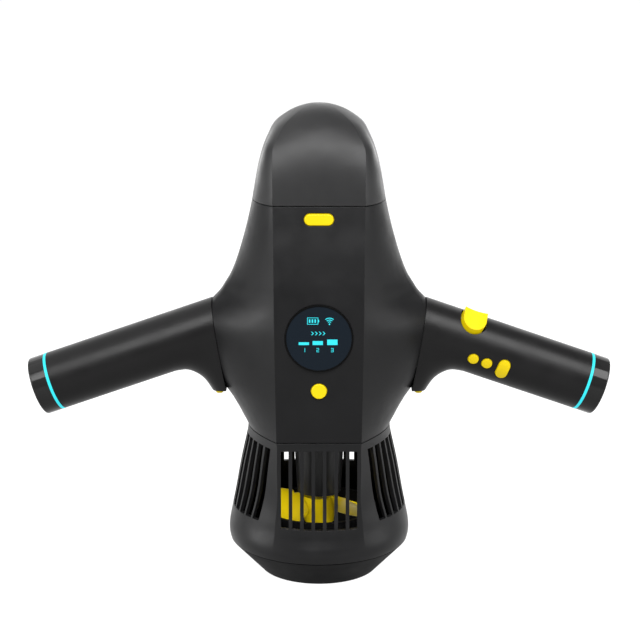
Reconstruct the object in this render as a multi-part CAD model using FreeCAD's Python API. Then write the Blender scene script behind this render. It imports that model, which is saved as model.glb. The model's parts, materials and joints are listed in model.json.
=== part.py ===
"""Hand-held underwater scooter, nose up, as an assembly of separate pieces.

Frame, in millimetres: the origin is the centre of the tail ring's flat end, +Z points to the nose,
the display faces -Y and the two handles reach out along +X and -X.
"""
import FreeCAD, Part
import math
import os

Vector = FreeCAD.Vector
ORIGIN = Vector(0, 0, 0)
X = Vector(1, 0, 0)
Y = Vector(0, 1, 0)
Z = Vector(0, 0, 1)

# ---- driving dimensions ----
WALL = 3.5                 # moulded wall of the hull, the duct and the nose
GAP = 0.3                  # air between pieces that move past each other
BUTTON_GAP = 0.6           # dark line round each button
SEAM = 0.7                 # dark joint line above and below the intake duct

NOSE_Z = 391.0             # top of the crown
NOSE_SEAM_Z = 315.0        # battery pack meets the hull
HULL_SEAM_Z = 126.0        # hull meets the intake duct
LIP_Z = 26.0               # duct lip meets the tail ring
WIDEST_DUCT_Z = 34.0
DUCT_RADIUS = 75.8
LIP_RADIUS = 74.3
TAIL_RADIUS = 49.4
OUTLET_RADIUS = 45.5
TUNNEL_Z = 52.0            # top rim of the tunnel round the propeller
PANEL = 34.0               # half-width of the flat panels, front and back, at the lower seam
PANEL_SPREAD = 0.0115      # how much wider they get with height

# Stations of the hull: height, half-width, half-depth, half-depth of the rounded flank, then the
# headings of the side where it leaves the panel and where it reaches the flank, in degrees. The
# first and the last lie beyond the seams, where the body is cut off
HULL = [
    (102.0, 46.0, 60.9, 12.0, 63.0, 90.0),
    (HULL_SEAM_Z, 59.0, 64.0, 12.0, 56.0, 80.0),
    (140.0, 66.5, 65.8, 12.0, 52.0, 74.0),
    (150.0, 72.4, 66.8, 12.5, 49.0, 69.0),
    (158.0, 78.0, 67.7, 13.5, 47.0, 64.0),
    (166.0, 82.6, 68.5, 16.5, 45.5, 60.0),
    (176.0, 86.0, 69.5, 20.0, 44.0, 56.5),
    (190.0, 89.5, 70.8, 23.5, 42.5, 54.0),
    (206.0, 92.6, 71.7, 24.5, 41.5, 53.0),
    (216.0, 93.4, 72.0, 22.8, 41.5, 53.0),
    (224.0, 92.4, 71.8, 18.0, 42.0, 54.0),
    (229.0, 89.4, 71.5, 14.0, 43.0, 57.0),
    (233.0, 85.9, 71.2, 12.0, 44.5, 60.0),
    (237.5, 81.7, 70.8, 11.0, 46.0, 62.0),
    (243.0, 78.0, 70.1, 11.0, 48.0, 66.0),
    (252.6, 72.2, 68.8, 11.0, 50.0, 71.0),
    (266.0, 66.8, 66.0, 11.0, 50.0, 76.0),
    (282.0, 61.9, 62.3, 11.0, 50.0, 80.0),
    (298.0, 57.7, 57.9, 11.0, 48.0, 84.0),
    (NOSE_SEAM_Z, 54.0, 54.0, 11.0, 45.0, 86.0),
    (339.0, 49.5, 48.5, 11.0, 41.0, 89.0),
]
HULL_STATIONS = 48         # evenly spaced sections that the hull's skin runs through
BASE_OUTLINE = HULL[1][1:]
TOP_OUTLINE = HULL[-2][1:]
# Stations of the nose below its crown: height, half-width
NOSE_SIDES = [(315.0, 54.0), (324.0, 52.5), (333.0, 50.9), (342.0, 49.1), (351.0, 46.8),
              (360.0, 43.8), (368.0, 40.2), (375.4, 36.1)]
CROWN_RADIUS = 49.0
CROWN_DROPS = [9.0, 5.6, 3.0, 1.3, 0.35]      # heights of the crown's stations below the top
# Stations of the duct: height, half-width, bulge of the panel in degrees, angle of the side
DUCT = [
    (LIP_Z, LIP_RADIUS, 30.0, 30.0),
    (29.5, 75.3, 30.0, 30.0),
    (WIDEST_DUCT_Z, DUCT_RADIUS, 30.0, 30.0),
    (42.0, 75.2, 26.0, 32.0),
    (55.0, 72.6, 24.0, 36.0),
    (70.0, 69.6, 15.0, 42.0),
    (88.0, 66.4, 5.0, 49.0),
    (106.0, 62.6, 0.0, 53.0),
    (HULL_SEAM_Z, 59.0, 0.0, 56.0),
]
FLANK_ANGLE = 14.0         # half of the arc that rounds the duct's flanks

SLOT_LOW = 54.0
REAR_SLOT_LOW = 71.5
SLOT_HIGH = 118.5
SLOT_WIDTH = 6.3
SLOT_PITCH = 9.2
FRONT_SLOTS = 7
SIDE_SLOTS = 7
SIDE_TOP = (38.0, 9.4)     # direction of a side group's first slot and the step to the next, in degrees
SIDE_LOW = (47.0, 7.8)     # and at the bottom, as the slots lean with the flare
SIDE_SLOT_WIDTH = 7.6

HANDLE_SLOPE = 19.0        # degrees below level, towards the grip's end
HANDLE_ORIGIN = Vector(0, 0, 236.2)           # where the two grip axes cross
GRIP_RADIUS = 24.3
GRIP_BORE = 21.3
RING_START = 231.0         # along the grip axis
RING_END = 233.3
GRIP_END = 247.0
# The joint face between hull and handle, at y = 0
FACE_LOW = (76.5, 155.7)
FACE_HIGH = (88.0, 229.0)
# Stations of the flared handle root: distance out, depth below the grip axis
ROOT_FLARE = [(66.0, 88.0), (72.0, 80.4), (80.0, 67.7), (84.5, 60.1), (88.9, 51.7), (93.6, 42.6),
              (102.0, 32.9), (110.6, 27.4), (119.0, 25.7)]
ROOT_STATIONS = 14
ROOT_TIP = Vector(88.9, 0, 153.9)             # where the flare meets the flat foot of the root
FOOT_SLOPE = 0.145
BUTTON_X = 82.9            # release button in the foot of the root
SPIGOT_RADIUS = 17.0
SPIGOT_LENGTH = 30.0

DISPLAY_Z = 213.7
DISPLAY_RADIUS = 25.7      # round screen, 2.1 inch across with its rim
DISPLAY_FACE = 72.3
POWER_Z = 170.2
RELEASE_Z = 305.2

SHAFT_RADIUS = 4.0
POD_RADIUS = 21.5
POD_LOW = 65.0
BLADES = 3
BLADE_RADIUS = 42.5
PROPELLER_Z = 55.0
HUB = (38.0, 61.0)
FIRST_BLADE = -152.0       # degrees, seen from the nose


# ---- small helpers ----
def cylinder(radius, length, base, direction=Z):
    return Part.makeCylinder(radius, length, base, direction)


def ring(outer, inner, length, base, direction=Z):
    lead = direction * 1.0
    return cylinder(outer, length, base, direction).cut(
        cylinder(inner, length + 2, base - lead, direction))


def block(low, high):
    size = [b - a for a, b in zip(low, high)]
    return Part.makeBox(size[0], size[1], size[2], Vector(*low))


def fused(shapes):
    return shapes[0].multiFuse(shapes[1:]).removeSplitter() if len(shapes) > 1 else shapes[0]


def mirrored(shape):
    return shape.mirror(ORIGIN, X)


def pill(length, width, depth, base, along, out):
    """A bar with round ends: its long axis lies along 'along', and it rises along 'out'."""
    half = (length - width) / 2
    side = out.cross(along)
    corners = [along * (sx * half) + side * (sy * width / 2)
               for sx, sy in ((-1, -1), (1, -1), (1, 1), (-1, 1), (-1, -1))]
    bar = Part.Face(Part.makePolygon([base + corner for corner in corners])).extrude(out * depth)
    ends = [cylinder(width / 2, depth, base + along * (sign * half), out) for sign in (-1, 1)]
    return fused([bar] + ends)


def coil(radius, wire, height, turns, base, direction):
    """A compression spring standing on 'base'."""
    pitch = (height - 2 * wire) / turns
    helix = Part.makeHelix(pitch, pitch * turns, radius)
    profile = Part.Wire(Part.Circle(Vector(radius, 0, 0), Y, wire).toShape())
    spring = Part.Wire(helix.Edges).makePipeShell([profile], True, True)
    spring.translate(Vector(0, 0, wire))
    spring.Placement = FreeCAD.Placement(base, FreeCAD.Rotation(Z, direction)) * spring.Placement
    return spring


def heading(degrees):
    return Vector(math.cos(math.radians(degrees)), math.sin(math.radians(degrees)), 0)


def bend(start, end, start_angle, end_angle):
    """A near-circular curve between two points with the two given headings."""
    turn = math.radians(end_angle - start_angle)
    reach = (end - start).Length / (3 * math.cos(turn / 4) ** 2)
    curve = Part.BezierCurve()
    curve.setPoles([start, start + heading(start_angle) * reach, end - heading(end_angle) * reach, end])
    return curve.toShape()


def panel_at(height):
    return PANEL + PANEL_SPREAD * (height - HULL_SEAM_Z)


def outline(height, width, depth, flank, side, arrive, bulge=0.0, panel=None, wall=0.0):
    """A closed section: flat or bulged panels front and back and rounded flanks, 'wall' inside the skin."""
    panel = panel or panel_at(height)
    panel_out = Vector(math.sin(math.radians(bulge)), -math.cos(math.radians(bulge)), 0)
    side_out = Vector(math.sin(math.radians(side)), -math.cos(math.radians(side)), 0)
    flank_out = Vector(math.sin(math.radians(arrive)), -math.cos(math.radians(arrive)), 0)
    miter = (panel_out + side_out) / (1 + panel_out.dot(side_out))
    crest = flank * (1 - flank_out.x) / -flank_out.y
    corner = Vector(panel, -depth, 0) - miter * wall
    edge = Vector(width - crest, -flank, 0) - flank_out * wall
    points = [Vector(-corner.x, corner.y, height), Vector(corner.x, corner.y, height),
              Vector(edge.x, edge.y, height), Vector(edge.x, -edge.y, height),
              Vector(corner.x, -corner.y, height), Vector(-corner.x, -corner.y, height),
              Vector(-edge.x, -edge.y, height), Vector(-edge.x, edge.y, height)]
    headings = [(-bulge, bulge), (side, arrive), (arrive, 180 - arrive), (180 - arrive, 180 - side),
                (180 - bulge, 180 + bulge), (180 + side, 180 + arrive), (180 + arrive, 360 - arrive),
                (360 - arrive, 360 - side)]
    edges = [bend(points[i], points[(i + 1) % 8], *headings[i]) for i in range(8)]
    return Part.Wire(edges)


# ---- hull ----
def slope(table, row, column):
    """Gradient of a column at a row, level where the column turns, so that nothing overshoots."""
    gradients = [(table[i + 1][column] - table[i][column]) / (table[i + 1][0] - table[i][0])
                 for i in (row - 1, row) if 0 <= i < len(table) - 1]
    if min(gradients) * max(gradients) <= 0:
        return 0.0
    return len(gradients) / sum(1 / gradient for gradient in gradients)


def even_stations(table, count):
    """The same body at evenly spaced heights, which a smooth loft follows closely."""
    stations = []
    for step in range(count):
        z = table[0][0] + (table[-1][0] - table[0][0]) * step / (count - 1)
        row = max(i for i in range(len(table) - 1) if table[i][0] <= z + 0.001)
        low, high = table[row], table[row + 1]
        span = high[0] - low[0]
        t = (z - low[0]) / span
        station = [z]
        for k in range(1, len(low)):
            rise = span * (t * (1 - t) ** 2 * slope(table, row, k) - t * t * (1 - t) * slope(table, row + 1, k))
            station.append(low[k] + (high[k] - low[k]) * t * t * (3 - 2 * t) + rise)
        stations.append(station)
    return stations


def hull_body(wall=0.0):
    stations = even_stations(HULL, HULL_STATIONS)
    body = Part.makeLoft([outline(*station, wall=wall) for station in stations], True)
    return body.common(block((-120, -90, HULL_SEAM_Z), (120, 90, NOSE_SEAM_Z)))


def beyond_face(offset):
    """The space outside the right-hand joint face, 'offset' further out."""
    run = FACE_HIGH[0] - FACE_LOW[0]
    rise = FACE_HIGH[1] - FACE_LOW[1]
    length = math.hypot(run, rise)
    out = Vector(rise / length, 0, -run / length)
    up = Vector(run / length, 0, rise / length)
    base = Vector(FACE_LOW[0], 0, FACE_LOW[1]) + out * offset - up * 60
    corners = [base - Y * 60, base + Y * 60, base + Y * 60 + up * 200, base - Y * 60 + up * 200]
    return Part.Face(Part.makePolygon(corners + [corners[0]])).extrude(out * 250)


def place_on_grip(shape):
    """From the grip's own frame (x along the grip, z across it, upwards) to the right-hand handle."""
    placed = shape.copy()
    placed.rotate(ORIGIN, Y, HANDLE_SLOPE)
    placed.translate(HANDLE_ORIGIN)
    return placed


def grip_cylinder(radius, start, end):
    return place_on_grip(cylinder(radius, end - start, Vector(start, 0, 0), X))


def joint_face_distance():
    """Where the grip axis passes through the joint face, along the grip."""
    slope = math.tan(math.radians(HANDLE_SLOPE))
    lean = (FACE_HIGH[0] - FACE_LOW[0]) / (FACE_HIGH[1] - FACE_LOW[1])
    x = (FACE_LOW[0] + lean * (HANDLE_ORIGIN.z - FACE_LOW[1])) / (1 + lean * slope)
    return x / math.cos(math.radians(HANDLE_SLOPE))


FACE_AT = joint_face_distance()
SOCKET_START = FACE_AT - SPIGOT_LENGTH - 4
BOSSES = [(38.0, 140.0), (52.0, 172.0), (46.0, 250.0), (38.0, 268.0)]


def both_sides(shape):
    return [shape, mirrored(shape)]


def hull_skin():
    outer = hull_body()
    for cutter in both_sides(beyond_face(-GAP)):
        outer = outer.cut(cutter)
    return outer


def hull_shells():
    outer = hull_skin()
    inner = hull_body(WALL)
    for cutter in both_sides(beyond_face(-WALL)):
        inner = inner.cut(cutter)
    skin = outer.cut(inner)
    posts = []
    for x, z in BOSSES:
        posts += both_sides(cylinder(4.5, 160, Vector(x, -80, z), Y))
    skin = fused([skin] + [post.common(outer) for post in posts])
    openings = [
        cylinder(DISPLAY_RADIUS + 1.2, 20, Vector(0, -80, DISPLAY_Z), Y),
        cylinder(6.0 + BUTTON_GAP, 20, Vector(0, -80, POWER_Z), Y),
        pill(22.6 + 2 * BUTTON_GAP, 8.7 + 2 * BUTTON_GAP, 14, Vector(0, -64, RELEASE_Z), X, Y),
    ]
    for x, z in BOSSES:
        openings += both_sides(cylinder(1.7, 78, Vector(x, -22, z), Y))
        openings += both_sides(cylinder(3.9, 60, Vector(x, 42, z), Y))
    openings += both_sides(grip_cylinder(SPIGOT_RADIUS + 3.2, SOCKET_START, FACE_AT + 20))
    skin = skin.cut(fused(openings[:3]))
    for opening in openings[3:]:
        skin = skin.cut(opening)
    front = skin.common(block((-120, -90, 100), (120, -0.5, 330)))
    rear = skin.common(block((-120, 0.5, 100), (120, 90, 330)))
    return front, rear


def hull_gasket():
    slab = block((-120, -0.5, 100), (120, 0.5, 330))
    outer = hull_body(0.8)
    inner = hull_body(WALL - 0.2)
    for cutter in both_sides(beyond_face(-1.2)):
        outer = outer.cut(cutter)
    for cutter in both_sides(beyond_face(-WALL + 0.2)):
        inner = inner.cut(cutter)
    gasket = outer.common(slab).cut(inner)
    for socket in both_sides(grip_cylinder(SPIGOT_RADIUS + 3.4, SOCKET_START, FACE_AT + 20)):
        gasket = gasket.cut(socket)
    return gasket


def hull_screws():
    screws = []
    for x, z in BOSSES:
        head = cylinder(3.6, 3, Vector(x, 42, z), Y)
        hexagon = cylinder(1.6, 1.8, Vector(x, 43.5, z), Y)
        shank = cylinder(1.65, 54, Vector(x, -12, z), Y)
        screws += both_sides(fused([head, shank]).cut(hexagon))
    return Part.makeCompound(screws)


def handle_socket():
    sleeve = cylinder(SPIGOT_RADIUS + 3.2, FACE_AT - SOCKET_START - 1, Vector(SOCKET_START, 0, 0), X)
    bore = cylinder(SPIGOT_RADIUS + GAP, 60, Vector(SOCKET_START + 3, 0, 0), X)
    return place_on_grip(sleeve.cut(bore)).cut(beyond_face(-GAP - 0.2))


def hull_bulkhead():
    plate = outline(HULL_SEAM_Z, *BASE_OUTLINE, wall=WALL + 0.2)
    plate = Part.Face(plate).extrude(Z * 4)
    plate.translate(Z * 0.2)
    plate = plate.cut(cylinder(7, 10, Vector(0, 0, HULL_SEAM_Z - 2)))
    for hole in motor_screw_places() + duct_screw_places():
        plate = plate.cut(cylinder(1.6, 10, Vector(hole.x, hole.y, HULL_SEAM_Z - 2)))
    return plate


def bulkhead_seal():
    groove = outline(HULL_SEAM_Z, *BASE_OUTLINE, wall=WALL + 0.2)
    rim = Part.Face(groove).extrude(Z * 1.6)
    inner = outline(HULL_SEAM_Z, *BASE_OUTLINE, wall=WALL + 2.6)
    rim = rim.cut(Part.Face(inner).extrude(Z * 1.6))
    rim.translate(Z * 4.3)
    return rim


# ---- display, buttons and electronics in the hull ----
def display_pieces():
    centre = Vector(0, -DISPLAY_FACE, DISPLAY_Z)
    bezel = ring(DISPLAY_RADIUS + 1.1, DISPLAY_RADIUS, 5, centre, Y)
    bezel = fused([bezel, ring(DISPLAY_RADIUS + 1.1, DISPLAY_RADIUS - 1.6, 1.6, centre + Y * 3, Y)])
    lens = cylinder(DISPLAY_RADIUS - 0.05, 2.4, centre + Y * 0.3, Y)
    module = cylinder(DISPLAY_RADIUS - 2, 4.5, centre + Y * 2.8, Y)
    connector = block((-8, -DISPLAY_FACE + 7.3, DISPLAY_Z - 18), (8, -DISPLAY_FACE + 10, DISPLAY_Z - 12))
    return bezel, lens, fused([module, connector])


def round_button(radius, face, inner, flange, centre_x, centre_z):
    """A push button along Y: its cap, then a flange that stops it inside the wall."""
    cap = cylinder(radius, inner - face, Vector(centre_x, face, centre_z), Y)
    cap = cap.makeFillet(0.8, [edge for edge in cap.Edges if abs(edge.BoundBox.YMax - face) < 0.01])
    stop = cylinder(radius + 1.6, flange, Vector(centre_x, inner, centre_z), Y)
    return fused([cap, stop])


def power_button():
    return round_button(6.0, -70.2, -64.2, 1.4, 0.0, POWER_Z)


def power_switch():
    board = block((-10, -60.4, POWER_Z - 10), (10, -58.8, POWER_Z + 10))
    dome = cylinder(2.5, 0.6, Vector(0, -61.0, POWER_Z), Y)
    return fused([board, dome])


def battery_release_button():
    cap = pill(22.6, 8.7, 6.8, Vector(0, -57.6, RELEASE_Z), X, Y)
    cap = cap.makeFillet(0.8, [edge for edge in cap.Edges if abs(edge.BoundBox.YMax + 57.6) < 0.01])
    flange = pill(25.0, 11.0, 1.2, Vector(0, -50.8, RELEASE_Z), X, Y)
    return fused([cap, flange])


def control_board():
    board = block((-30, 8, 150), (30, 9.6, 250))
    chips = [block((-18, 5.4, 215), (-4, 8, 229)), block((6, 6, 220), (20, 8, 232)),
             block((-20, 4, 160), (-8, 8, 172)), block((4, 2, 158), (22, 8, 170))]
    return fused([board] + chips)


def electronics_tray():
    plate = block((-33, 12, 134), (33, 14.5, 262))
    posts = [cylinder(3, 2.4, Vector(x, 9.6, z), Y) for x in (-26, 26) for z in (155, 245)]
    foot = block((-33, 12, 131.8), (33, 32, 134.3))
    return fused([plate, foot] + posts)


def motor_controller():
    base = block((-26, 14.5, 150), (26, 24, 216))
    fins = [block((-24 + i * 7.6, 24, 152), (-21.5 + i * 7.6, 34, 214)) for i in range(7)]
    return fused([base] + fins)


# ---- battery pack, which forms the nose ----
CELL_PLACES = [Vector(19.5 * (i - (count - 1) / 2), row * 16.9, 0)
               for row, count in ((-1, 3), (0, 4), (1, 3)) for i in range(count)]
CELL_LOW = 286.0
CELL_LENGTH = 65.0
WELL_RADIUS = 44.0


def nose_half_depth(height):
    share = (height - NOSE_SEAM_Z) / (NOSE_Z - NOSE_SEAM_Z)
    return 54.0 * math.sqrt(1 - share ** 2.6)


def nose_outline(height, width, wall=0.0):
    """The flat panel keeps its width up to the shoulders of the nose and blends into a round crown."""
    share = (height - NOSE_SEAM_Z) / (NOSE_Z - NOSE_SEAM_Z)
    blend = share ** 2.3
    panel = min(panel_at(height), width * (0.864 - 0.16 * blend))
    depth = nose_half_depth(height)
    return outline(height, width, depth * (1 - 0.286 * blend), width * (0.204 + 0.08 * blend), 45.0,
                   86.0 - 12.0 * blend, bulge=43.0 * blend, panel=panel, wall=wall)


def nose_body(wall=0.0):
    stations = list(NOSE_SIDES)
    for drop in CROWN_DROPS:
        reach = math.sqrt(CROWN_RADIUS ** 2 - (CROWN_RADIUS - drop) ** 2)
        stations.append((NOSE_Z - drop, reach))
    if wall:
        stations = [(z, w) for z, w in stations if w > 19]
    return Part.makeLoft([nose_outline(z, w, wall) for z, w in stations], True)


def nose_shell():
    outer = nose_body()
    inner = nose_body(WALL)
    shell = outer.cut(inner)
    return shell.common(block((-70, -70, NOSE_SEAM_Z + 0.6), (70, 70, NOSE_Z + 5)))


def battery_spigot():
    flange = Part.Face(outline(NOSE_SEAM_Z + 0.6, *TOP_OUTLINE, wall=WALL + 0.6)).extrude(Z * 2.6)
    wall = ring(WELL_RADIUS, WELL_RADIUS - 3, NOSE_SEAM_Z + 0.6 - 279.0, Vector(0, 0, 279.0))
    floor = cylinder(WELL_RADIUS, 3, Vector(0, 0, 279.0))
    body = fused([flange, wall, floor])
    groove = ring(WELL_RADIUS + 1, WELL_RADIUS - 1.4, 3, Vector(0, 0, 294.0))
    opening = cylinder(WELL_RADIUS - 3, 12, Vector(0, 0, NOSE_SEAM_Z - 5))
    return body.cut(groove).cut(opening)


def battery_seal():
    return Part.makeTorus(WELL_RADIUS - 0.67, 0.69, Vector(0, 0, 295.5))


def battery_cells():
    cells = []
    for place in CELL_PLACES:
        can = cylinder(9.1, CELL_LENGTH - 1.5, place + Z * CELL_LOW)
        button = cylinder(3.0, 1.2, place + Z * (CELL_LOW + CELL_LENGTH - 1.6))
        cells.append(fused([can, button]))
    return Part.makeCompound(cells)


def cell_holder(low):
    plate = cylinder(39.6, 4, Vector(0, 0, low))
    for place in CELL_PLACES:
        plate = plate.cut(cylinder(9.2, 8, place + Z * (low - 2)))
    return plate


def battery_board():
    board = cylinder(33, 1.6, Vector(0, 0, CELL_LOW + CELL_LENGTH + 1.0))
    chip = block((-8, -6, CELL_LOW + CELL_LENGTH + 2.6), (8, 6, CELL_LOW + CELL_LENGTH + 5))
    return fused([board, chip])


def pack_terminals():
    return Part.makeCompound([cylinder(3.5, 3.9, Vector(x, 0, 282.0)) for x in (-14, 14)])


def battery_well():
    sleeve = ring(WELL_RADIUS + 3.0, WELL_RADIUS + 0.05, NOSE_SEAM_Z - 3 - 275.5, Vector(0, 0, 275.5))
    floor = cylinder(WELL_RADIUS + 3.0, 3, Vector(0, 0, 272.5))
    lip = Part.Face(outline(NOSE_SEAM_Z - 3, *TOP_OUTLINE, wall=WALL + 0.6)).extrude(Z * 2.7)
    lip = lip.cut(cylinder(WELL_RADIUS + 0.05, 12, Vector(0, 0, NOSE_SEAM_Z - 8)))
    well = fused([sleeve, floor, lip])
    for x in (-14, 14):
        well = well.cut(cylinder(3.2, 10, Vector(x, 0, 270)))
    return well


def well_contacts():
    pins = [fused([cylinder(3.15, 4, Vector(x, 0, 271.4)), cylinder(1.6, 3.0, Vector(x, 0, 275.4))])
            for x in (-14, 14)]
    return Part.makeCompound(pins)


# ---- intake duct, tail ring and drive ----
def duct_depth(width, bulge):
    """Half-depth at the panel's edge: it follows the circle once the panel has rounded off."""
    share = bulge / 30.0
    return 64.0 * (1 - share) + width * math.cos(math.radians(30)) * share


def duct_body(wall=0.0):
    sections = []
    for z, width, bulge, side in DUCT:
        share = bulge / 30.0
        flank = 12.0 * (1 - share) + width * math.sin(math.radians(FLANK_ANGLE)) * share
        panel = panel_at(z) * (1 - share) + width * 0.5 * share
        arrive = 80.0 * (1 - share) + (90 - FLANK_ANGLE) * share
        sections.append(outline(z, width, duct_depth(width, bulge), flank, side, arrive, bulge=bulge,
                                panel=panel, wall=wall))
    return Part.makeLoft(sections, True)


def side_slot(index):
    """A slot in the right flank, counted from the front."""
    wires = []
    for z, (first, step) in ((SLOT_LOW + 2, SIDE_LOW), (SLOT_HIGH, SIDE_TOP)):
        angle = first + step * index
        out = heading(angle - 90)
        across = heading(angle) * (SIDE_SLOT_WIDTH / 2)
        loop = [out * 40 + across, out * 40 - across, out * 96 - across, out * 96 + across]
        loop = [corner + Z * z for corner in loop]
        wires.append(Part.makePolygon(loop + [loop[0]]))
    return Part.makeLoft(wires, True, True)


def duct_grille():
    duct = duct_body().cut(duct_body(WALL))
    flange_outer = outline(HULL_SEAM_Z - 4, *BASE_OUTLINE, wall=WALL - 0.4)
    flange = Part.Face(flange_outer).extrude(Z * 3.8)
    flange = flange.cut(cylinder(44, 12, Vector(0, 0, HULL_SEAM_Z - 8)))
    duct = fused([duct, flange])
    slots = []
    for i in range(FRONT_SLOTS):
        x = (i - (FRONT_SLOTS - 1) / 2) * SLOT_PITCH
        for low_y, high_y, low_z in ((-100, -45, SLOT_LOW), (45, 100, REAR_SLOT_LOW)):
            slots.append(block((x - SLOT_WIDTH / 2, low_y, low_z), (x + SLOT_WIDTH / 2, high_y, SLOT_HIGH)))
    for i in range(SIDE_SLOTS):
        slots += both_sides(side_slot(i))
    duct = duct.cut(Part.makeCompound(slots))
    for place in duct_screw_places():
        duct = duct.cut(cylinder(1.8, 12, Vector(place.x, place.y, HULL_SEAM_Z - 8)))
    trim = block((-100, -100, LIP_Z + SEAM), (100, 100, HULL_SEAM_Z - SEAM))
    return duct.common(trim)


def tail_ring():
    """Chamfered ring that closes the duct, with the tunnel that the propeller turns in."""
    tongue = LIP_RADIUS - WALL - 0.4
    points = [(OUTLET_RADIUS, 0), (TAIL_RADIUS, 0), (LIP_RADIUS - 0.3, LIP_Z), (tongue, LIP_Z),
              (tongue, LIP_Z + 6), (tongue - 2.2, LIP_Z + 6), (tongue - 2.2, LIP_Z - 3),
              (OUTLET_RADIUS + 3, 8), (OUTLET_RADIUS + 3, TUNNEL_Z), (OUTLET_RADIUS, TUNNEL_Z)]
    loop = [Vector(r, 0, z) for r, z in points]
    face = Part.Face(Part.makePolygon(loop + [loop[0]]))
    return face.revolve(ORIGIN, Z, 360)


def motor_screw_places():
    return [heading(45 + 90 * i) * 26 for i in range(4)]


def duct_screw_places():
    return [heading(30 + 60 * i) * 50 for i in range(6)]


def screw_group(places, head_low, length):
    screws = []
    for place in places:
        head = cylinder(2.8, 2.2, place + Z * head_low)
        recess = cylinder(1.3, 1.2, place + Z * (head_low - 0.1))
        screws.append(fused([head.cut(recess), cylinder(1.5, length, place + Z * (head_low + 2.2))]))
    return Part.makeCompound(screws)


def motor_pod():
    outer = Part.makeCone(18.4, POD_RADIUS, HULL_SEAM_Z - 4 - POD_LOW, Vector(0, 0, POD_LOW))
    flange = cylinder(31, 4, Vector(0, 0, HULL_SEAM_Z - 4))
    bore = cylinder(16.6, 80, Vector(0, 0, POD_LOW + 5))
    nose = cylinder(7.0, 20, Vector(0, 0, POD_LOW - 2))
    pod = fused([outer, flange]).cut(bore).cut(nose)
    for place in motor_screw_places():
        pod = pod.cut(cylinder(1.6, 12, place + Z * (HULL_SEAM_Z - 8)))
    return pod


def motor_stator():
    core = ring(16.5, 10.2, 26, Vector(0, 0, 84))
    teeth = [cylinder(2.2, 34, heading(30 * i) * 13.2 + Z * 80) for i in range(12)]
    return fused([core] + teeth)


def motor_rotor():
    return ring(9.6, SHAFT_RADIUS, 28, Vector(0, 0, 83))


def motor_shaft():
    low = HUB[0] - 4
    return cylinder(SHAFT_RADIUS, 122 - low, Vector(0, 0, low)).cut(drive_pin())


def bearing(low, bore, outer):
    """Both races and their balls, as one bought piece."""
    races = [ring(outer, outer - 2, 5, Vector(0, 0, low)), ring(bore + 1.9, bore, 5, Vector(0, 0, low))]
    middle = (bore + outer) / 2
    radius = (outer - bore) / 2 - 1.4
    balls = [Part.makeSphere(radius, heading(45 * i) * middle + Z * (low + 2.5)) for i in range(8)]
    return fused(races + balls)


def shaft_seal():
    return ring(6.9, SHAFT_RADIUS + 0.05, 4, Vector(0, 0, POD_LOW))


def blade(angle):
    """One broad twisted blade, lofted through lens-shaped sections along its length."""
    sections = []
    for share in (0.0, 0.35, 0.7, 1.0):
        radius = 9.0 + (BLADE_RADIUS - 5.0) * share
        chord = 15.0 + 38.0 * share
        pitch = math.radians(62 - 33 * share)
        thick = 3.0 - 1.8 * share
        along = Vector(0, -math.cos(pitch), math.sin(pitch))
        normal = Vector(0, math.sin(pitch), math.cos(pitch))
        centre = Vector(radius, 0, PROPELLER_Z)
        lead = centre + along * (chord / 2)
        trail = centre - along * (chord / 2)
        camber = normal * (0.06 * chord)
        upper = Part.BezierCurve()
        upper.setPoles([trail, centre - along * (chord / 4) + camber + normal * thick,
                        centre + along * (chord / 4) + camber + normal * thick, lead])
        lower = Part.BezierCurve()
        lower.setPoles([lead, centre + along * (chord / 4) + camber - normal * thick * 0.4,
                        centre - along * (chord / 4) + camber - normal * thick * 0.4, trail])
        sections.append(Part.Wire([upper.toShape(), lower.toShape()]))
    solid = Part.makeLoft(sections, True).common(cylinder(BLADE_RADIUS, 60, Vector(0, 0, 30)))
    solid.rotate(ORIGIN, Z, angle)
    return solid


def propeller():
    hub = Part.makeCone(12.5, 14.0, HUB[1] - HUB[0], Vector(0, 0, HUB[0]))
    blades = [blade(FIRST_BLADE + 360.0 / BLADES * i) for i in range(BLADES)]
    wheel = fused([hub] + blades).cut(cylinder(POD_RADIUS, 20, Vector(0, 0, POD_LOW - 1.5)))
    return wheel.cut(cylinder(SHAFT_RADIUS, 60, Vector(0, 0, 30))).cut(drive_pin(1.55, 19.0))


def drive_pin(radius=1.5, length=18.0):
    return cylinder(radius, length, Vector(-length / 2, 0, HUB[0] + 8), X)


def propeller_nut():
    dome = Part.makeCone(5.0, 12.0, 7, Vector(0, 0, HUB[0] - 7))
    return dome.cut(cylinder(SHAFT_RADIUS, 8, Vector(0, 0, HUB[0] - 4)))


# ---- handles ----
def root_section(x, drop):
    axis_z = HANDLE_ORIGIN.z - x * math.tan(math.radians(HANDLE_SLOPE))
    centre = Vector(x, 0, axis_z)
    rise = GRIP_RADIUS / math.cos(math.radians(HANDLE_SLOPE))
    upper = Part.Ellipse(centre + Z * rise, centre + Y * GRIP_RADIUS, centre).toShape(-math.pi / 2, math.pi / 2)
    lower = Part.Ellipse(centre - Z * drop, centre + Y * GRIP_RADIUS, centre).toShape(-math.pi / 2, math.pi / 2)
    return Part.Wire([upper, lower])


def inner_root_section(x, drop):
    axis_z = HANDLE_ORIGIN.z - x * math.tan(math.radians(HANDLE_SLOPE))
    centre = Vector(x, 0, axis_z)
    half = GRIP_BORE - 0.4
    upper = Part.Ellipse(centre + Z * (half + 1), centre + Y * half, centre).toShape(-math.pi / 2, math.pi / 2)
    lower = Part.Ellipse(centre - Z * (drop - 3.4), centre + Y * half, centre).toShape(-math.pi / 2, math.pi / 2)
    return Part.Wire([upper, lower])


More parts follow.
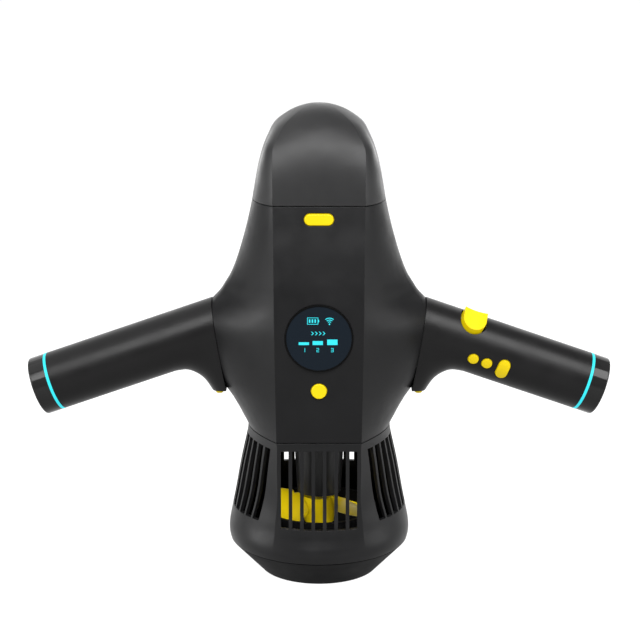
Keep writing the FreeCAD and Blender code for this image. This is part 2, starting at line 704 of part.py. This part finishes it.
def below_foot(raise_by):
    """Everything under the flat foot of the handle's root."""
    inner = ROOT_TIP + Vector(-30, 0, 30 * FOOT_SLOPE)
    outer = ROOT_TIP + Vector(30, 0, -30 * FOOT_SLOPE)
    corners = [inner + Z * raise_by, outer + Z * raise_by, outer - Z * 60, inner - Z * 60]
    face = Part.Face(Part.makePolygon(corners + corners[:1]))
    face.translate(Y * -40)
    return face.extrude(Y * 80)


def plain_handle_shell():
    stations = even_stations(ROOT_FLARE, ROOT_STATIONS)
    flare = Part.makeLoft([root_section(x, drop) for x, drop in stations], True)
    flare = flare.cut(below_foot(0))
    grip = grip_cylinder(GRIP_RADIUS, 125.0, RING_START)
    stub = grip_cylinder(GRIP_RADIUS, 110.0, 140.0).common(block((119, -30, 100), (160, 30, 260)))
    body = fused([flare, stub, grip]).common(beyond_face(0))
    hollow = Part.makeLoft([inner_root_section(x, drop) for x, drop in stations], True)
    hollow = hollow.cut(below_foot(3.4))
    hollow = fused([hollow, grip_cylinder(GRIP_BORE, 112, RING_START + 5)]).common(beyond_face(4))
    spigot = grip_cylinder(SPIGOT_RADIUS, FACE_AT - SPIGOT_LENGTH, FACE_AT + 6)
    wire_way = grip_cylinder(SPIGOT_RADIUS - 3, FACE_AT - SPIGOT_LENGTH - 2, FACE_AT + 12)
    shell = fused([body.cut(hollow), spigot]).cut(wire_way)
    groove = grip_cylinder(SPIGOT_RADIUS + 1, FACE_AT - 16, FACE_AT - 13.4).cut(
        grip_cylinder(SPIGOT_RADIUS - 1.2, FACE_AT - 17, FACE_AT - 12))
    shell = shell.cut(groove)
    bore = cylinder(3.0 + GAP, 14, Vector(BUTTON_X, 0, 148))
    pocket = cylinder(4.7, 14, Vector(BUTTON_X, 0, 158.2))
    return shell.cut(bore).cut(pocket)


def handle_seal():
    return place_on_grip(Part.makeTorus(SPIGOT_RADIUS - 0.45, 0.7, Vector(FACE_AT - 14.7, 0, 0), X))


def handle_release_button():
    stem = cylinder(3.0, 8.2, Vector(BUTTON_X, 0, 150.3))
    stem = stem.makeFillet(0.8, [edge for edge in stem.Edges if abs(edge.BoundBox.ZMax - 150.3) < 0.01])
    return fused([stem, cylinder(4.3, 1.2, Vector(BUTTON_X, 0, 158.5))])


def handle_release_spring():
    return coil(2.6, 0.4, 11.9, 5, Vector(BUTTON_X, 0, 159.9), Z)


def light_ring():
    return place_on_grip(ring(GRIP_RADIUS + 0.1, GRIP_BORE - 1, RING_END - RING_START, Vector(RING_START, 0, 0), X))


def led_board():
    board = ring(GRIP_BORE - 1.2, 9, 1.6, Vector(RING_START - 2, 0, 0), X)
    lamps = [block((RING_START - 0.4, -1, 15), (RING_START + 0.8, 1, 17.5)) for _ in range(8)]
    for i, lamp in enumerate(lamps):
        lamp.rotate(ORIGIN, X, 45 * i)
    return place_on_grip(fused([board] + lamps))


def end_cap():
    length = GRIP_END - RING_END
    cap = cylinder(GRIP_RADIUS + 0.1, length, Vector(RING_END, 0, 0), X)
    cap = cap.makeFillet(1.6, [edge for edge in cap.Edges if abs(edge.BoundBox.XMin - GRIP_END) < 0.01])
    hollow = cylinder(GRIP_BORE - 3, length - 4, Vector(RING_END, 0, 0), X)
    plug = ring(GRIP_BORE - 2.6, GRIP_BORE - 5.4, 7, Vector(RING_END - 1.2, 0, 0), X)
    return place_on_grip(fused([cap.cut(hollow), plug]))


# ---- controls on the right-hand grip ----
LEVER = (117.2, 136.6)     # along the grip
LEVER_TILT = 50.0          # degrees above level, towards the display side
LEVER_TOP = -12.0          # reach of the paddle across the grip, up
LEVER_TIP = 7.6            # and down to its rounded tip
LEVER_FACE = 28.8          # distance of the paddle's corners from the grip axis
LEVER_ROOT = 16.0
LEVER_OUT = Vector(0, -math.cos(math.radians(LEVER_TILT)), math.sin(math.radians(LEVER_TILT)))
LEVER_DOWN = Vector(0, -math.sin(math.radians(LEVER_TILT)), -math.cos(math.radians(LEVER_TILT)))
PIVOT = LEVER_OUT * 13.6 - LEVER_DOWN * 10.0
PADS = {"speed_down_button": 135.8, "speed_up_button": 147.5}
LOCK_AT = 161.6


def lever_place(along, down, out):
    """A point in the paddle's own directions, in the grip's frame."""
    return X * along + LEVER_DOWN * down + LEVER_OUT * out


def paddle(grow, low, high):
    """The D-shaped paddle, 'grow' larger all round, between two distances from the grip axis."""
    first, last = LEVER[0] - grow, LEVER[1] + grow
    middle = (first + last) / 2
    round_start = LEVER_TIP - (LEVER[1] - LEVER[0]) / 2
    corners = [lever_place(first, round_start, low), lever_place(first, LEVER_TOP - grow, low),
               lever_place(last, LEVER_TOP - grow, low), lever_place(last, round_start, low)]
    tip = lever_place(middle, LEVER_TIP + grow, low)
    edges = [Part.LineSegment(corners[i], corners[i + 1]).toShape() for i in range(3)]
    edges.append(Part.Arc(corners[3], tip, corners[0]).toShape())
    return Part.Face(Part.Wire(edges)).extrude(LEVER_OUT * (high - low))


def throttle_lever():
    pad = paddle(0, LEVER_ROOT, LEVER_FACE)
    dish_radius = 34.0
    middle = (LEVER[0] + LEVER[1]) / 2
    dish = cylinder(dish_radius, 60, lever_place(middle, -30, LEVER_FACE + dish_radius - 1.9), LEVER_DOWN)
    knuckle = cylinder(3.2, LEVER[1] - LEVER[0], X * LEVER[0] + PIVOT, X)
    corners = [lever_place(LEVER[0], down, out) for down, out in ((-12, 13), (-7, 13), (-7, 18), (-12, 18))]
    web = Part.Face(Part.makePolygon(corners + corners[:1])).extrude(X * (LEVER[1] - LEVER[0]))
    lever = fused([pad, knuckle, web]).cut(dish)
    notch = cylinder(4.8, 9, X * (middle - 4.5) + PIVOT, X)
    lever = lever.cut(notch).cut(cylinder(1.55, 40, X * (LEVER[0] - 5) + PIVOT, X))
    return place_on_grip(lever)


def lever_window():
    return place_on_grip(paddle(1.4, 6.0, 40.0).cut(cylinder(5.0, 80, X * 90, X)))


def throttle_pin():
    return place_on_grip(cylinder(1.5, LEVER[1] - LEVER[0] + 9, X * (LEVER[0] - 4.5) + PIVOT, X))


def throttle_bracket():
    """Two ears that hold the pin, on a bar along the bottom of the grip."""
    parts = []
    for start in (LEVER[0] - 4.2, LEVER[1] + 1.0):
        ear = cylinder(4.0, 3.2, X * start + PIVOT, X)
        leg = block((start, -5.0, -20.0), (start + 3.2, 5.0, 8.0))
        parts.append(fused([ear, leg, block((start, -5.0, 5.0), (start + 3.2, 0.5, 15.0))]))
    bar = block((LEVER[0] - 4.2, -5.0, -20.0), (LEVER[1] + 4.2, 5.0, -17.6))
    bracket = fused(parts + [bar])
    return place_on_grip(bracket.cut(cylinder(1.5, 60, X * 100 + PIVOT, X)))


def throttle_spring():
    middle = (LEVER[0] + LEVER[1]) / 2
    return place_on_grip(coil(2.5, 0.5, 8.0, 6, X * (middle - 4.0) + PIVOT, X))


def throttle_sensor():
    """A small board under the paddle that reads how far it is squeezed."""
    board = block((122, -7.0, -1.0), (136, 3.0, 0.6))
    return place_on_grip(fused([board, block((126, -4, 0.6), (130, 0, 2.0))]))


def grip_button(position):
    cap = cylinder(4.1, 9, Vector(position, -27, -7.6), Y)
    cap = cap.common(cylinder(GRIP_RADIUS + 0.9, 40, Vector(position - 20, 0, 0), X))
    return place_on_grip(fused([cap, cylinder(5.1, 1.2, Vector(position, -18.0, -7.6), Y).common(
        cylinder(GRIP_BORE - 0.5, 40, Vector(position - 20, 0, 0), X))]))


def lock_button():
    cap = pill(16.5, 9.3, 12, Vector(LOCK_AT, -28, -8.0), Z, Y)
    cap = cap.common(cylinder(GRIP_RADIUS + 1.1, 40, Vector(LOCK_AT - 20, 0, 0), X))
    flange = pill(18.5, 11.3, 1.2, Vector(LOCK_AT, -17.0, -8.0), Z, Y)
    flange = flange.common(cylinder(GRIP_BORE - 0.5, 40, Vector(LOCK_AT - 20, 0, 0), X))
    return place_on_grip(fused([cap, flange]))


def grip_button_holes():
    holes = [cylinder(4.1 + BUTTON_GAP, 20, Vector(position, -32, -7.6), Y) for position in PADS.values()]
    holes.append(pill(16.5 + 2 * BUTTON_GAP, 9.3 + 2 * BUTTON_GAP, 20, Vector(LOCK_AT, -32, -8.0), Z, Y))
    return [place_on_grip(hole) for hole in holes]


def button_board():
    board = block((129, -13.2, -15.5), (168, -11.6, -0.5))
    domes = [cylinder(1.6, 1.0, Vector(position, -14.2, -7.6), Y) for position in PADS.values()]
    return place_on_grip(fused([board] + domes))


def right_handle_shell():
    shell = plain_handle_shell()
    for cutter in [lever_window()] + grip_button_holes():
        shell = shell.cut(cutter)
    return shell


# ---- assembly ----
def build():
    nodes = {}
    nodes["hull_front_shell"], nodes["hull_rear_shell"] = hull_shells()
    nodes["hull_gasket"] = hull_gasket()
    nodes["hull_screws"] = hull_screws()
    nodes["hull_bulkhead"] = hull_bulkhead()
    nodes["bulkhead_seal"] = bulkhead_seal()
    nodes["display_bezel"], nodes["display_lens"], nodes["display_module"] = display_pieces()
    nodes["power_button"] = power_button()
    nodes["power_switch"] = power_switch()
    nodes["battery_release_button"] = battery_release_button()
    nodes["control_board"] = control_board()
    nodes["electronics_tray"] = electronics_tray()
    nodes["motor_controller"] = motor_controller()
    nodes["battery_well"] = battery_well()
    nodes["well_contacts"] = well_contacts()
    nodes["nose_shell"] = nose_shell()
    nodes["battery_spigot"] = battery_spigot()
    nodes["battery_seal"] = battery_seal()
    nodes["battery_cells"] = battery_cells()
    nodes["cell_holders"] = Part.makeCompound(
        [cell_holder(low) for low in (CELL_LOW + 4, CELL_LOW + CELL_LENGTH - 9)])
    nodes["battery_board"] = battery_board()
    nodes["pack_terminals"] = pack_terminals()
    nodes["duct_grille"] = duct_grille()
    nodes["tail_ring"] = tail_ring()
    nodes["bulkhead_screws"] = screw_group(duct_screw_places() + motor_screw_places(), HULL_SEAM_Z - 6.2, 8)
    nodes["motor_pod"] = motor_pod()
    nodes["motor_stator"] = motor_stator()
    nodes["motor_rotor"] = motor_rotor()
    nodes["motor_shaft"] = motor_shaft()
    nodes["motor_bearings"] = Part.makeCompound(
        [bearing(low, SHAFT_RADIUS + 0.02, 11.0) for low in (POD_LOW + 5.2, 115.0)])
    nodes["shaft_seal"] = shaft_seal()
    nodes["propeller"] = propeller()
    nodes["drive_pin"] = drive_pin()
    nodes["propeller_nut"] = propeller_nut()
    nodes["handle_sockets"] = Part.makeCompound(both_sides(handle_socket()))
    right_pieces = {
        "handle_seal": handle_seal(),
        "release_button": handle_release_button(),
        "release_spring": handle_release_spring(),
        "light_ring": light_ring(),
        "led_board": led_board(),
        "end_cap": end_cap(),
    }
    for name, shape in right_pieces.items():
        nodes["right_" + name] = shape
        nodes["left_" + name] = mirrored(shape)
    nodes["left_handle_shell"] = mirrored(plain_handle_shell())
    nodes["right_handle_shell"] = right_handle_shell()
    nodes["throttle_lever"] = throttle_lever()
    nodes["throttle_pin"] = throttle_pin()
    nodes["throttle_bracket"] = throttle_bracket()
    nodes["throttle_spring"] = throttle_spring()
    nodes["throttle_sensor"] = throttle_sensor()
    nodes["button_board"] = button_board()
    nodes["lock_button"] = lock_button()
    for name, position in PADS.items():
        nodes[name] = grip_button(position)
    return nodes


os.makedirs("parts", exist_ok=True)
for name, shape in build().items():
    print(f"{name:24s} solids {len(shape.Solids)}  volume {shape.Volume / 1000:8.2f} cm3  valid {shape.isValid()}")
    shape.exportStep(f"parts/{name}.step")
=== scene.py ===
"""Looks of the hand-held underwater scooter: materials, copies of the two release springs, the lit
graphics of the screen, light and camera."""

import json
import math

import bmesh
import bpy
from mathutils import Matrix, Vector


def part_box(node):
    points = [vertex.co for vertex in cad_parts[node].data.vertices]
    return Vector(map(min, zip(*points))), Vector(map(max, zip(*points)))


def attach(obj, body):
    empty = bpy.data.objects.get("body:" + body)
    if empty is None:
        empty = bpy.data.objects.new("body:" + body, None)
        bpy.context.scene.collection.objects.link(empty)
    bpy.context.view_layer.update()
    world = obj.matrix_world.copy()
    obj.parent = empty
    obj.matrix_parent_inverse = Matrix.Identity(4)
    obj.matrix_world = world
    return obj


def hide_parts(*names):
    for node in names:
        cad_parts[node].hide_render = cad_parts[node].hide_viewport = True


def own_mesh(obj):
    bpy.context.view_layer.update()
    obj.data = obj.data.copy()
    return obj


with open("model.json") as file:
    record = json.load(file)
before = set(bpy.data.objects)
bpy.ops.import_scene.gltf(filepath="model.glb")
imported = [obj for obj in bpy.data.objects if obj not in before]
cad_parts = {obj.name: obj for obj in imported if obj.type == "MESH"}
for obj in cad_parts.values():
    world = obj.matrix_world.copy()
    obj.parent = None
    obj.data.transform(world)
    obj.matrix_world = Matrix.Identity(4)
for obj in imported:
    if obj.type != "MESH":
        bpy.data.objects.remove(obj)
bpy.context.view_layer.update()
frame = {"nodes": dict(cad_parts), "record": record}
nodes = frame["nodes"]


# ---- shader helpers ----
NOISE_LOW, NOISE_HIGH = 0.3, 0.7      # nearly all of the noise lies between these


def new_material(name):
    material = bpy.data.materials.new(name)
    material.use_nodes = True
    shader = material.node_tree.nodes["Principled BSDF"]
    return material, material.node_tree, shader


def noise(tree, scale, detail=4.0, roughness=0.55, stretch=None):
    """Noise in object space, so that it doesn't depend on a mesh's own UVs."""
    place = tree.nodes.new("ShaderNodeTexCoord")
    texture = tree.nodes.new("ShaderNodeTexNoise")
    texture.inputs["Scale"].default_value = scale
    texture.inputs["Detail"].default_value = detail
    texture.inputs["Roughness"].default_value = roughness
    source = place.outputs["Object"]
    if stretch:
        mapping = tree.nodes.new("ShaderNodeMapping")
        mapping.inputs["Scale"].default_value = stretch
        tree.links.new(source, mapping.inputs["Vector"])
        source = mapping.outputs["Vector"]
    tree.links.new(source, texture.inputs["Vector"])
    return texture.outputs["Fac"]


def ramp(tree, source, dark, light):
    """Turns the noise into colours between two."""
    node = tree.nodes.new("ShaderNodeValToRGB")
    stops = ((NOISE_LOW, dark), (NOISE_HIGH, light))
    for element, (place, colour) in zip(node.color_ramp.elements, stops):
        element.position = place
        element.color = (*colour, 1.0)
    tree.links.new(source, node.inputs["Fac"])
    return node.outputs["Color"]


def spread(tree, source, low, high):
    """Stretches the noise over low..high."""
    node = tree.nodes.new("ShaderNodeMapRange")
    node.inputs["From Min"].default_value = NOISE_LOW
    node.inputs["From Max"].default_value = NOISE_HIGH
    node.inputs["To Min"].default_value = low
    node.inputs["To Max"].default_value = high
    tree.links.new(source, node.inputs["Value"])
    return node.outputs["Result"]


def bump(tree, shader, source, strength, distance, edge=0.0):
    """Surface grain, over edges that look rounded by 'edge' metres."""
    node = tree.nodes.new("ShaderNodeBump")
    node.inputs["Strength"].default_value = strength
    node.inputs["Distance"].default_value = distance
    tree.links.new(source, node.inputs["Height"])
    tree.links.new(node.outputs["Normal"], shader.inputs["Normal"])
    if edge:
        bevel = tree.nodes.new("ShaderNodeBevel")
        bevel.samples = 4
        bevel.inputs["Radius"].default_value = edge
        tree.links.new(bevel.outputs["Normal"], node.inputs["Normal"])


CLOUD_SCALE = 28.0         # patches of colour, per metre
SMEAR_SCALE = 55.0         # patches of gloss
GRAIN_SCALE = 2600.0       # spark-eroded grain of the mould
GRAIN_STRENGTH = 0.35
COAT_ROUGHNESS = 0.12
BRUSH_SCALE = 300.0        # brushed metal, in colour
BRUSH_GLOSS_SCALE = 500.0  # and in gloss
LAMP_SCALE = 90.0          # unlit colour of a lit plastic


def moulded(name, colour, roughness, variation=0.12, grain_depth=0.00004, coat=0.0,
            gleam=0.5, edge=0.0006, painted_glow=0.0):
    """Moulded plastic: a fine spark-eroded grain, faint cloudiness in the colour and in the gloss.

    'gleam' is how much it reflects, 'edge' the radius its edges seem to have, in metres, and
    the glow a painted light of the plastic's own colour, which brightens it and flattens its shading."""
    material, tree, shader = new_material(name)
    shader.inputs["Specular IOR Level"].default_value = gleam
    dark = [c * (1 - variation) for c in colour]
    light = [c * (1 + variation) for c in colour]
    cloud = noise(tree, CLOUD_SCALE)
    tree.links.new(ramp(tree, cloud, dark, light), shader.inputs["Base Color"])
    smear = noise(tree, SMEAR_SCALE, 6.0)
    tree.links.new(spread(tree, smear, roughness - 0.05, roughness + 0.06), shader.inputs["Roughness"])
    bump(tree, shader, noise(tree, GRAIN_SCALE, 3.0, 0.7), GRAIN_STRENGTH, grain_depth, edge)
    # Painted light: a glow in the plastic's own colour, standing in for light falling on it.
    shader.inputs["Emission Color"].default_value = (*colour, 1.0)
    shader.inputs["Emission Strength"].default_value = painted_glow
    shader.inputs["Coat Weight"].default_value = coat
    shader.inputs["Coat Roughness"].default_value = COAT_ROUGHNESS
    return material


def metal(name, colour, roughness):
    """Metal, brushed in level lines."""
    material, tree, shader = new_material(name)
    dark = [c * 0.8 for c in colour]
    brush = noise(tree, BRUSH_SCALE, stretch=(1.0, 1.0, 30.0))
    tree.links.new(ramp(tree, brush, dark, colour), shader.inputs["Base Color"])
    gloss = noise(tree, BRUSH_GLOSS_SCALE, stretch=(1.0, 1.0, 30.0))
    tree.links.new(spread(tree, gloss, roughness - 0.06, roughness + 0.08), shader.inputs["Roughness"])
    shader.inputs["Metallic"].default_value = 1.0
    return material


def glowing(name, colour, strength):
    """Lit plastic, which is dark where its own light is left out."""
    material, tree, shader = new_material(name)
    dark = [c * 0.1 for c in colour]
    light = [c * 0.15 for c in colour]
    tree.links.new(ramp(tree, noise(tree, LAMP_SCALE), dark, light), shader.inputs["Base Color"])
    shader.inputs["Emission Color"].default_value = (*colour, 1.0)
    shader.inputs["Emission Strength"].default_value = strength
    shader.inputs["Roughness"].default_value = 0.4
    shader.inputs["Specular IOR Level"].default_value = 0.05
    return material


# Colours are linear, not as a screen shows them
CYAN = (0.045, 0.78, 0.88)
YELLOW = (0.23, 0.172, 0.0003)
BODY = (0.0036, 0.0036, 0.0038)
MATERIALS = {
    "hull_plastic": moulded("hull plastic", BODY, 0.38, gleam=0.095, edge=0.0009),
    # Painted light: the nose is about three times lighter than the body, standing in for the brighter
    # light on it.
    "nose_plastic": moulded("nose plastic painted lighter", (0.0105, 0.0105, 0.0107), 0.37, gleam=0.105, edge=0.0009),
    "duct_plastic": moulded("duct plastic", BODY, 0.38, gleam=0.12, edge=0.0007),
    "handle_plastic": moulded("handle plastic", (0.0034, 0.0033, 0.0034), 0.36, gleam=0.11,
                              edge=0.0009),
    "inner_plastic": moulded("inner plastic", (0.010, 0.010, 0.010), 0.55, gleam=0.2, edge=0.0),
    "trim_black": moulded("trim black", (0.0012, 0.0012, 0.0012), 0.4, grain_depth=0.00001, gleam=0.03),
    "cap_gloss": moulded("cap gloss", (0.006, 0.006, 0.006), 0.09, grain_depth=0.000002, gleam=0.13),
    "display_glass": moulded("display glass", (0.0024, 0.0042, 0.0066), 0.2, variation=0.05,
                             grain_depth=0.000002, gleam=0.06, edge=0.0003),
    # Painted light: the buttons glow, which brightens them and flattens their shading.
    "yellow_rubber": moulded("yellow buttons with painted glow", YELLOW, 0.42, variation=0.03, gleam=0.12, painted_glow=1.5),
    "yellow_gloss": moulded("yellow propeller", (0.54, 0.40, 0.003), 0.32, variation=0.06,
                            grain_depth=0.00001, coat=0.03, gleam=0.08),
    "light_ring": glowing("light ring", CYAN, 0.84),
    "seal_rubber": moulded("seal rubber", (0.012, 0.012, 0.012), 0.6, edge=0.0),
    "steel": metal("steel", (0.56, 0.56, 0.57), 0.28),
    "contact_brass": metal("contact brass", (0.75, 0.52, 0.2), 0.25),
    "heat_sink": metal("heat sink", (0.6, 0.6, 0.62), 0.35),
    "pod_metal": moulded("motor pod", (0.007, 0.007, 0.007), 0.32, gleam=0.25),
    "motor_iron": metal("motor iron", (0.2, 0.2, 0.21), 0.45),
    "cell_wrap": moulded("cell wrap", (0.03, 0.12, 0.32), 0.3, edge=0.0),
    "circuit_board": moulded("circuit board", (0.01, 0.12, 0.05), 0.35, edge=0.0),
}
SCREEN_LIGHT = glowing("screen light", CYAN, 0.8)
# The tail looks down on a bright floor, so its plastic is a shade duller
NODE_FINISHES = {"tail_ring": moulded("tail plastic", BODY, 0.62, gleam=0.035, edge=0.0005)}


def paint_nodes():
    for part in frame["record"]["subparts"]:
        target = nodes[part["node"]]
        target.data.materials.clear()
        target.data.materials.append(NODE_FINISHES.get(part["node"], MATERIALS[part["material_slot"]]))


paint_nodes()


def release_spring(side):
    node = f"{side}_release_spring"
    piece = bpy.data.objects.new(f"{side}_release_coil", nodes[node].data.copy())
    bpy.context.collection.objects.link(piece)
    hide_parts(node)
    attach(piece, f"{side}_handle")
    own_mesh(piece)


for side in ("left", "right"):
    release_spring(side)


# ---- graphics on the round screen ----
SCREEN_Z = 0.2137       # height of its centre
MM = 0.001
PLATE_LIFT = 0.12 * MM  # how far a plate stands out of the lens
PLATE_DEPTH = 0.15 * MM


def graphic(name, outlines):
    """Thin lit plates on the screen, from closed loops of (x, z) in millimetres from its centre."""
    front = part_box("display_lens")[0][1]
    mesh = bpy.data.meshes.new(name)
    plates = bmesh.new()
    for outline in outlines:
        loop = [plates.verts.new((x * MM, front - PLATE_LIFT, SCREEN_Z + z * MM)) for x, z in outline]
        face = plates.faces.new(loop)
        walls = bmesh.ops.extrude_face_region(plates, geom=[face])
        back = [item for item in walls["geom"] if isinstance(item, bmesh.types.BMVert)]
        bmesh.ops.translate(plates, verts=back, vec=(0, PLATE_DEPTH, 0))
    bmesh.ops.recalc_face_normals(plates, faces=plates.faces)
    plates.to_mesh(mesh)
    plates.free()
    mesh.materials.append(SCREEN_LIGHT)
    piece = bpy.data.objects.new(name, mesh)
    bpy.context.collection.objects.link(piece)
    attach(piece, "hull")


def rectangle(left, low, right, high):
    return [(left, low), (right, low), (right, high), (left, high)]


def arc(centre, radius, angles):
    """Points of a circle at angles in radians."""
    return [(centre[0] + radius * math.cos(a), centre[1] + radius * math.sin(a)) for a in angles]


def fan(centre, inner, outer, half_angle, steps=10):
    """A band of a circle that opens upwards."""
    angles = [math.radians(90 - half_angle + 2 * half_angle * i / steps) for i in range(steps + 1)]
    return arc(centre, outer, angles) + arc(centre, inner, angles[::-1])


def battery_icon():
    """A frame of four strokes, the nub at its right and three bars of charge."""
    left, low, right, high = -9.2, 11.5, -0.6, 17.0
    line, nub_low, nub_high, nub_width = 0.4, 13.2, 15.3, 0.7
    plates = [rectangle(left, low, right, low + line), rectangle(left, high - line, right, high),
              rectangle(left, low + line, left + line, high - line),
              rectangle(right - line, low + line, right, high - line),
              rectangle(right, nub_low, right + nub_width, nub_high)]
    bar_left, bar_right, bar_step, bar_gap = left + 1.3, left + 2.5, 2.2, 1.4
    for i in range(3):
        shift = bar_step * i
        plates.append(rectangle(bar_left + shift, low + bar_gap, bar_right + shift, high - bar_gap))
    graphic("battery_icon", plates)


def signal_icon():
    """A dot with three bands over it."""
    centre, line = (8.2, 11.7), 0.6
    dot = arc(centre, line, [math.tau * i / 12 for i in range(12)])
    bands = [fan(centre, radius, radius + line, half_angle=40) for radius in (1.6, 3.1, 4.6)]
    graphic("signal_icon", [dot] + bands)


def chevrons():
    """Four arrowheads that stand for going forward."""
    first, step, line, reach = -6.2, 3.0, 0.8, 1.4
    low, middle, high = 2.9, 4.3, 5.7
    plates = []
    for i in range(4):
        x = first + step * i
        plates.append([(x, low), (x + line, low), (x + line + reach, middle), (x + line, high),
                       (x, high), (x + reach, middle)])
    graphic("forward_marks", plates)


# Lit strokes of each digit: three level ones and the uprights, which are half as high as the digit
DIGIT_STROKES = {1: ("right_high", "right_low"),
                 2: ("top", "right_high", "middle", "left_low", "bottom"),
                 3: ("top", "right_high", "middle", "right_low", "bottom")}


def digit(value, centre_x):
    width, half, line, base = 2.0, 1.6, 0.42, -10.7
    left, right = centre_x - width / 2, centre_x + width / 2
    middle, high = base + half, base + 2 * half
    strokes = {
        "top": rectangle(left, high - line, right, high),
        "middle": rectangle(left, middle - line / 2, right, middle + line / 2),
        "bottom": rectangle(left, base, right, base + line),
        "right_high": rectangle(right - line, middle, right, high),
        "right_low": rectangle(right - line, base, right, middle),
        "left_low": rectangle(left, base, left + line, middle),
    }
    graphic(f"speed_digit_{value}", [strokes[name] for name in DIGIT_STROKES[value]])


# Bars of the three speed levels: digit under the bar, left, right and top
SPEED_BARS = [(1, -15.9, -7.8, -2.8), (2, -5.0, 3.1, -1.8), (3, 6.4, 14.5, -0.6)]
SPEED_BAR_FOOT = -5.0


def screen():
    battery_icon()
    signal_icon()
    chevrons()
    for value, left, right, high in SPEED_BARS:
        graphic(f"speed_bar_{value}", [rectangle(left, SPEED_BAR_FOOT, right, high)])
        digit(value, (left + right) / 2)


screen()


# ---- floor, light and camera ----
FLOOR_REACH = 30.0      # metres from the centre to each side
FLOOR_LIGHT = 0.96      # its own light, which keeps the background white
WORLD_LIGHT = 0.3


def floor():
    mesh = bpy.data.meshes.new("floor")
    corners = [(x * FLOOR_REACH, y * FLOOR_REACH, 0) for x, y in ((-1, -1), (1, -1), (1, 1), (-1, 1))]
    mesh.from_pydata(corners, [], [(0, 1, 2, 3)])
    plane = bpy.data.objects.new("floor", mesh)
    bpy.context.collection.objects.link(plane)
    material, tree, shader = new_material("floor white")
    grey = ramp(tree, noise(tree, 3.0), (0.08, 0.08, 0.08), (0.09, 0.09, 0.09))
    tree.links.new(grey, shader.inputs["Base Color"])
    shader.inputs["Roughness"].default_value = 0.9
    shader.inputs["Emission Color"].default_value = (1.0, 1.0, 1.0, 1.0)
    shader.inputs["Emission Strength"].default_value = FLOOR_LIGHT
    mesh.materials.append(material)


def softbox(name, place, target, width, height, power):
    light = bpy.data.lights.new(name, "AREA")
    light.shape = "RECTANGLE"
    light.size = width
    light.size_y = height
    light.energy = power
    lamp = bpy.data.objects.new(name, light)
    bpy.context.collection.objects.link(lamp)
    lamp.location = place
    lamp.rotation_euler = (Vector(target) - Vector(place)).to_track_quat("-Z", "Y").to_euler()


# Softboxes: name, place, width and height in metres, power in watts
SOFTBOXES = [
    ("side left", (-1.8, -0.4, 0.5), 0.9, 0.9, 43),
    ("side right", (1.8, -0.4, 0.5), 0.9, 0.9, 22),
    ("front high", (0.2, -1.25, 1.75), 3.4, 1.2, 200),
    ("upper left", (-0.9, 0.0, 1.6), 1.2, 1.4, 7),
    ("back high", (-0.2, 1.1, 1.5), 2.2, 0.9, 6),
    ("rear", (0.0, 2.0, 0.9), 3.0, 1.8, 26),
]
LIT_POINT = (0, 0, 0.2)     # where they all aim


def studio():
    world = bpy.data.worlds.new("studio")
    bpy.context.scene.world = world
    world.use_nodes = True
    background = world.node_tree.nodes["Background"]
    background.inputs["Color"].default_value = (1.0, 1.0, 1.0, 1.0)
    background.inputs["Strength"].default_value = WORLD_LIGHT
    for name, place, width, height, power in SOFTBOXES:
        softbox(name, place, LIT_POINT, width, height, power)
    bpy.context.scene.view_settings.view_transform = "Standard"


def camera():
    """The picture's view: from the front, 13 degrees above level."""
    distance = 1.3216
    elevation = math.radians(12.98)
    aim = Vector((0.0008, 0.0, 0.2122))
    data = bpy.data.cameras.new("camera")
    data.lens = 90.0
    data.sensor_width = 36.0
    data.clip_end = 200.0
    eye = bpy.data.objects.new("camera", data)
    bpy.context.collection.objects.link(eye)
    eye.location = aim + Vector((0, -math.cos(elevation), math.sin(elevation))) * distance
    eye.rotation_euler = (aim - eye.location).to_track_quat("-Z", "Y").to_euler()
    bpy.context.scene.camera = eye


floor()
studio()
camera()
